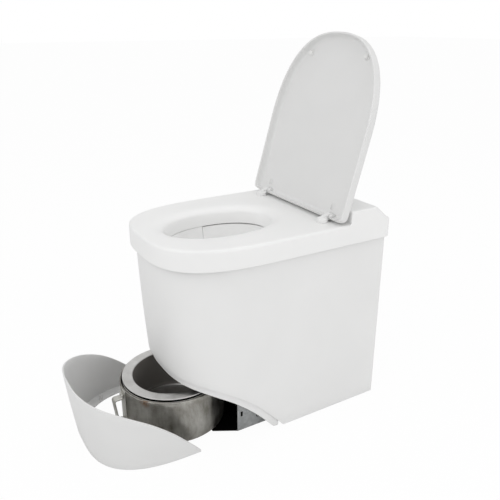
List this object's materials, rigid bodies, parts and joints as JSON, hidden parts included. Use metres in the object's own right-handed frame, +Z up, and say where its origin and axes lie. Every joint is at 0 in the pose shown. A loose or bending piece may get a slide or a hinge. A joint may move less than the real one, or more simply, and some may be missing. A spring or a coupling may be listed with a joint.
{
  "type": "incinerating caravan toilet",
  "caption": "Tapered D-plan caravan toilet with hinged lid, funnel seat, split drop bowl, removable lower front cover and a round pull-out ash pan.",
  "frame": {"origin": "centre of the four floor-fixing holes, on the floor plane", "axes": "+Z up, -Y towards the user, +X to the right of someone facing +Y (the flat back)"},
  "size_m": [0.3951, 0.8077, 0.9381],
  "materials": {
    "shell_plastic": "satin moulded plastic",
    "seat_plastic": "semi-gloss moulded plastic",
    "lid_plastic": "semi-gloss moulded plastic",
    "hinge_plastic": "satin",
    "bowl_plastic": "gloss",
    "soft_rubber": "matt",
    "black_rubber": "matt",
    "steel_bar": "machined",
    "handle_steel": "bent flat bar",
    "stainless_pan": "heat-tinted stainless",
    "galvanised_sheet": "galvanised",
    "zinc_fastener": "zinc plated",
    "chamber_steel": "heat-darkened stainless",
    "ceramic_fibre": "pressed fibre",
    "valve_brass": "machined",
    "motor_paint": "satin",
    "black_plastic": "fine texture",
    "board_green": "lacquered",
    "button_grey": "gloss",
    "bezel_metal": "polished",
    "panel_paint": "powder coated"
  },
  "bodies": {
    "base": {"body_shell": "shell_plastic", "seat_top": "seat_plastic", "hinge_feet": "hinge_plastic", "hinge_nuts": "hinge_plastic", "bowl_frame": "galvanised_sheet", "bowl_bushes": "black_plastic", "bowl_motors": "motor_paint", "chassis_box": "galvanised_sheet", "floor_plate": "galvanised_sheet", "pan_runners": "galvanised_sheet", "floor_brackets": "galvanised_sheet", "bracket_rivets": "zinc_fastener", "chassis_screws": "zinc_fastener", "foot_pads": "black_rubber", "chamber_shell": "chamber_steel", "chamber_lining": "ceramic_fibre", "chamber_seal": "ceramic_fibre", "chamber_studs": "steel_bar", "drop_throat": "chamber_steel", "burner_tube": "chamber_steel", "flame_sensor": "steel_bar", "igniter": "steel_bar", "gas_valve": "valve_brass", "gas_pipe": "valve_brass", "gas_union": "valve_brass", "fan_housing": "black_plastic", "fan_motor": "motor_paint", "air_duct": "chamber_steel", "flue_pipe": "chamber_steel", "catalyst_canister": "chamber_steel", "exhaust_spigot": "chamber_steel", "air_intake": "black_plastic", "control_box": "black_plastic", "circuit_board": "board_green", "wiring_loom": "black_plastic", "power_socket": "black_plastic", "button_bezel": "bezel_metal", "button_switch": "black_plastic", "rear_panel": "panel_paint", "panel_screws": "zinc_fastener"},
    "lid": {"lid": "lid_plastic", "lid_bumpers": "soft_rubber", "hinge_pins": "hinge_plastic"},
    "cover": {"front_cover": "shell_plastic"},
    "ash_pan": {"pan_shell": "stainless_pan", "pan_pot": "stainless_pan", "pan_insulation": "ceramic_fibre", "pan_handle": "handle_steel", "handle_bracket": "handle_steel", "handle_rivets": "zinc_fastener"},
    "front_bowl_half": {"bowl_front": "bowl_plastic", "front_bowl_axle": "steel_bar"},
    "rear_bowl_half": {"bowl_rear": "bowl_plastic", "rear_bowl_axle": "steel_bar"},
    "fan_wheel": {"fan_impeller": "black_plastic", "fan_shaft": "steel_bar"},
    "button": {"start_button": "button_grey"}
  },
  "joints": [
    {"name": "lid_hinge", "type": "hinge", "parent": "base", "child": "lid", "pos_m": [0, 0.03, 0.5215], "axis": [-1, 0, 0], "range_deg": [-106.4, 0]},
    {"name": "cover_slide", "type": "slide", "parent": "base", "child": "cover", "axis": [0.0725, 0.9974, 0], "range_m": [0, 0.22058]},
    {"name": "pan_slide", "type": "slide", "parent": "base", "child": "ash_pan", "axis": [0, 1, 0], "range_m": [0, 0.178]},
    {"name": "front_bowl_hinge", "type": "hinge", "parent": "base", "child": "front_bowl_half", "pos_m": [0, -0.346, 0.456], "axis": [-1, 0, 0], "range_deg": [0, 50]},
    {"name": "rear_bowl_hinge", "type": "hinge", "parent": "base", "child": "rear_bowl_half", "pos_m": [0, -0.052, 0.456], "axis": [1, 0, 0], "range_deg": [0, 50]},
    {"name": "fan_spin", "type": "hinge", "parent": "base", "child": "fan_wheel", "pos_m": [-0.08, 0.09, 0.345], "axis": [0, 1, 0], "continuous": true},
    {"name": "start_button_press", "type": "slide", "parent": "base", "child": "button", "axis": [0, 0, -1], "range_m": [0, 0.0025]}
  ],
  "couplings": [
    {"joint": "pan_slide", "follows": "cover_slide", "ratio": 0.80695},
    {"joint": "rear_bowl_hinge", "follows": "front_bowl_hinge", "ratio": 1}
  ]
}
